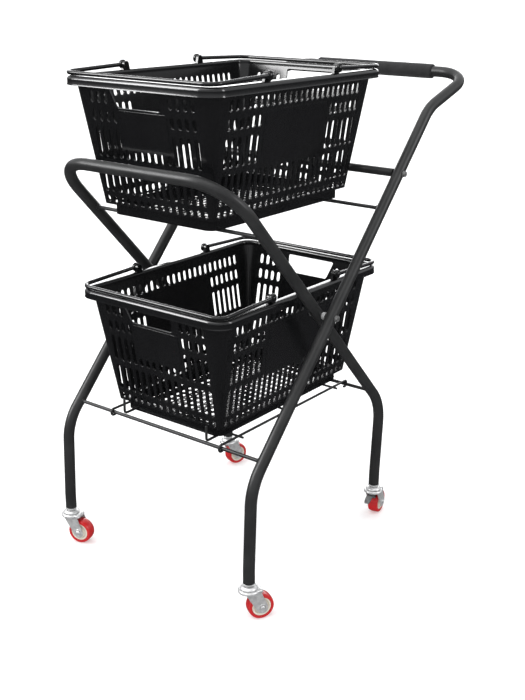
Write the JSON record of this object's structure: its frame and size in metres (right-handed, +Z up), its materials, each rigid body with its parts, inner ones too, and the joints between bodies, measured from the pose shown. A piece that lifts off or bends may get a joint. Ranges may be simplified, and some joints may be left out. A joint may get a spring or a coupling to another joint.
{
  "type": "rolling basket trolley",
  "caption": "Rolling basket trolley: crossed black tube frames with a push handle, two lift-out perforated baskets with bail handles, and swivel casters.",
  "frame": {"origin": "on the floor under the middle of the trolley", "axes": "+Z up; -Y is the front of the trolley, +Y is the user's side with the push handle; +X is the trolley's left side as the user sees it walking towards -Y"},
  "size_m": [0.5188, 0.7856, 0.9638],
  "materials": {
    "black_powder_coat": "satin black powder coat on steel tube, rod and wire",
    "bright_zinc": "bright zinc plating on stamped and turned steel",
    "foam_grip": "matt black foam sleeve",
    "basket_plastic": "glossy black moulded polypropylene",
    "bail_plastic": "glossy black moulded plastic rod",
    "hub_plastic": "cream moulded wheel core",
    "red_tread": "red moulded polyurethane tread"
  },
  "bodies": {
    "frame": {"handle_frame": "black_powder_coat", "front_hoop_frame": "black_powder_coat", "handle_grip": "foam_grip", "brace_bar": "black_powder_coat", "brace_bolt_left": "bright_zinc", "pivot_bolt_left": "bright_zinc", "pivot_spacer_left": "bright_zinc", "pivot_nut_left": "bright_zinc", "brace_bolt_right": "bright_zinc", "pivot_bolt_right": "bright_zinc", "pivot_spacer_right": "bright_zinc", "pivot_nut_right": "bright_zinc", "upper_front_rod": "black_powder_coat", "upper_rear_rod": "black_powder_coat", "lower_front_rod": "black_powder_coat", "lower_rear_rod": "black_powder_coat", "lower_rack": "black_powder_coat", "front_left_leg_insert": "bright_zinc", "front_left_stem": "bright_zinc", "front_left_race": "bright_zinc", "front_left_ball_ring": "bright_zinc", "front_right_leg_insert": "bright_zinc", "front_right_stem": "bright_zinc", "front_right_race": "bright_zinc", "front_right_ball_ring": "bright_zinc", "rear_left_leg_insert": "bright_zinc", "rear_left_stem": "bright_zinc", "rear_left_race": "bright_zinc", "rear_left_ball_ring": "bright_zinc", "rear_right_leg_insert": "bright_zinc", "rear_right_stem": "bright_zinc", "rear_right_race": "bright_zinc", "rear_right_ball_ring": "bright_zinc"},
    "upper_basket": {"upper_basket": "basket_plastic"},
    "upper_front_bail": {"upper_front_bail": "bail_plastic"},
    "upper_rear_bail": {"upper_rear_bail": "bail_plastic"},
    "lower_basket": {"lower_basket": "basket_plastic"},
    "lower_front_bail": {"lower_front_bail": "bail_plastic"},
    "lower_rear_bail": {"lower_rear_bail": "bail_plastic"},
    "front_left_fork": {"front_left_fork": "bright_zinc", "front_left_axle": "bright_zinc"},
    "front_left_wheel": {"front_left_wheel_hub": "hub_plastic", "front_left_tread": "red_tread"},
    "front_right_fork": {"front_right_fork": "bright_zinc", "front_right_axle": "bright_zinc"},
    "front_right_wheel": {"front_right_wheel_hub": "hub_plastic", "front_right_tread": "red_tread"},
    "rear_left_fork": {"rear_left_fork": "bright_zinc", "rear_left_axle": "bright_zinc"},
    "rear_left_wheel": {"rear_left_wheel_hub": "hub_plastic", "rear_left_tread": "red_tread"},
    "rear_right_fork": {"rear_right_fork": "bright_zinc", "rear_right_axle": "bright_zinc", "rear_right_pedal_pin": "bright_zinc"},
    "rear_right_wheel": {"rear_right_wheel_hub": "hub_plastic", "rear_right_tread": "red_tread"},
    "rear_right_pedal": {"rear_right_brake_pedal": "bright_zinc"}
  },
  "joints": [
    {"name": "upper_basket_lift", "type": "slide", "parent": "frame", "child": "upper_basket", "axis": [0, 0, 1], "range_m": [0, 0.3]},
    {"name": "upper_front_bail_swing", "type": "hinge", "parent": "upper_basket", "child": "upper_front_bail", "pos_m": [0, -0.2305, 0.9555], "axis": [-1, 0, 0], "range_deg": [0, 130]},
    {"name": "upper_rear_bail_swing", "type": "hinge", "parent": "upper_basket", "child": "upper_rear_bail", "pos_m": [0, -0.0225, 0.9555], "axis": [1, 0, 0], "range_deg": [0, 130]},
    {"name": "lower_basket_lift", "type": "slide", "parent": "frame", "child": "lower_basket", "axis": [0, 0, 1], "range_m": [0, 0.1]},
    {"name": "lower_front_bail_swing", "type": "hinge", "parent": "lower_basket", "child": "lower_front_bail", "pos_m": [0, -0.214, 0.5658], "axis": [-1, 0, 0], "range_deg": [0, 50]},
    {"name": "lower_rear_bail_swing", "type": "hinge", "parent": "lower_basket", "child": "lower_rear_bail", "pos_m": [0, -0.006, 0.5658], "axis": [1, 0, 0], "range_deg": [0, 50]},
    {"name": "front_left_swivel", "type": "hinge", "parent": "frame", "child": "front_left_fork", "pos_m": [-0.233, -0.3622, 0.0625], "axis": [0, 0, 1], "continuous": true},
    {"name": "front_left_roll", "type": "hinge", "parent": "front_left_fork", "child": "front_left_wheel", "pos_m": [-0.21244, -0.35591, 0.025], "axis": [-0.2924, 0.9563, 0], "continuous": true},
    {"name": "front_right_swivel", "type": "hinge", "parent": "frame", "child": "front_right_fork", "pos_m": [0.233, -0.3622, 0.0625], "axis": [0, 0, 1], "continuous": true},
    {"name": "front_right_roll", "type": "hinge", "parent": "front_right_fork", "child": "front_right_wheel", "pos_m": [0.24439, -0.34397, 0.025], "axis": [-0.848, 0.5299, 0], "continuous": true},
    {"name": "rear_left_swivel", "type": "hinge", "parent": "frame", "child": "rear_left_fork", "pos_m": [-0.2035, 0.1148, 0.0625], "axis": [0, 0, 1], "continuous": true},
    {"name": "rear_left_roll", "type": "hinge", "parent": "rear_left_fork", "child": "rear_left_wheel", "pos_m": [-0.19686, 0.13525, 0.025], "axis": [-0.9511, 0.309, 0], "continuous": true},
    {"name": "rear_right_swivel", "type": "hinge", "parent": "frame", "child": "rear_right_fork", "pos_m": [0.2035, 0.1148, 0.0625], "axis": [0, 0, 1], "continuous": true},
    {"name": "rear_right_roll", "type": "hinge", "parent": "rear_right_fork", "child": "rear_right_wheel", "pos_m": [0.19977, 0.13597, 0.025], "axis": [-0.9848, -0.1736, 0], "continuous": true},
    {"name": "rear_right_brake", "type": "hinge", "parent": "rear_right_fork", "child": "rear_right_pedal", "pos_m": [0.20411, 0.11135, 0.0535], "axis": [0.9848, 0.1736, 0], "range_deg": [0, 15]}
  ]
}
